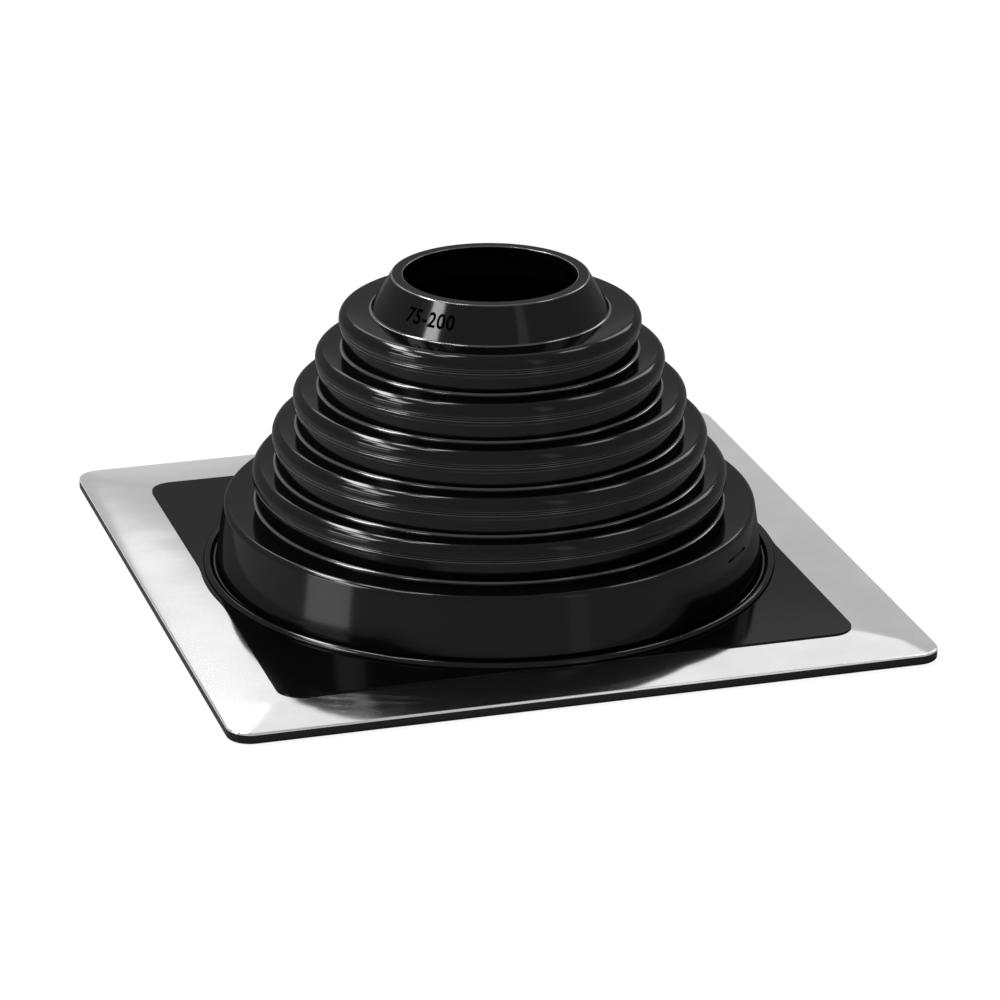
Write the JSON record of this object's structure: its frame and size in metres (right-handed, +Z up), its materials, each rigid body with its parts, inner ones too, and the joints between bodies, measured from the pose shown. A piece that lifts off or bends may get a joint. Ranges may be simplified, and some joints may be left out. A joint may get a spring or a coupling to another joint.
{
  "type": "pipe flashing boot",
  "caption": "Stepped rubber cone with a flat sealing lip that grips a pipe, on a square flange with a bright metal frame that is screwed to the roof.",
  "frame": {"origin": "centre of the flange's underside, on the pipe's axis", "axes": "+Z up along the pipe's axis, X and Y along the sides of the square flange"},
  "size_m": [0.3, 0.3, 0.1335],
  "materials": {
    "epdm_rubber": "satin moulded",
    "aluminium_sheet": "bright, mirror-like"
  },
  "bodies": {
    "root": {"rubber_boot": "epdm_rubber", "aluminium_frame": "aluminium_sheet"}
  },
  "joints": []
}
